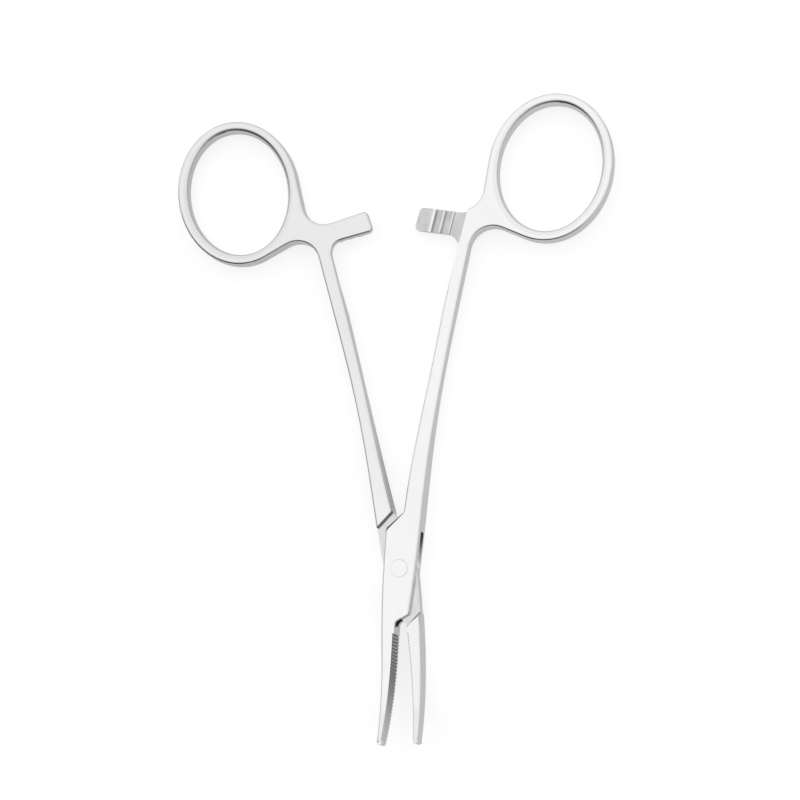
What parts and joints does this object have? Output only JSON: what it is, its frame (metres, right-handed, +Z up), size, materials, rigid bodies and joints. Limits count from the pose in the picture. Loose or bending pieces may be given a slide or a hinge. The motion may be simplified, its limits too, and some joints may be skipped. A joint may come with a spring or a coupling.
{
  "type": "hemostat forceps",
  "caption": "Curved mosquito artery forceps with finger rings, ratchet tabs, a box lock with a riveted pivot pin and serrated tapering jaws, shown a little open.",
  "frame": {"origin": "on the pivot's axis, at the underside of the box lock, where the instrument rests on the table", "axes": "+Y from the pivot towards the finger rings, +X across the rings towards the ring of the box arm, +Z up, the way the jaws curve"},
  "size_m": [0.0858, 0.1225, 0.0096],
  "materials": {
    "forged_steel": "satin stainless steel, finely brushed",
    "pin_steel": "stainless steel, ground flush with the box"
  },
  "bodies": {
    "box_arm_body": {"box_arm": "forged_steel", "pivot_pin": "pin_steel"},
    "tongue_arm_body": {"tongue_arm": "forged_steel"}
  },
  "joints": [
    {"name": "box_lock_pivot", "type": "hinge", "parent": "box_arm_body", "child": "tongue_arm_body", "pos_m": [0, 0, 0.00235], "axis": [0, 0, 1], "range_deg": [-10.05, 50]}
  ]
}
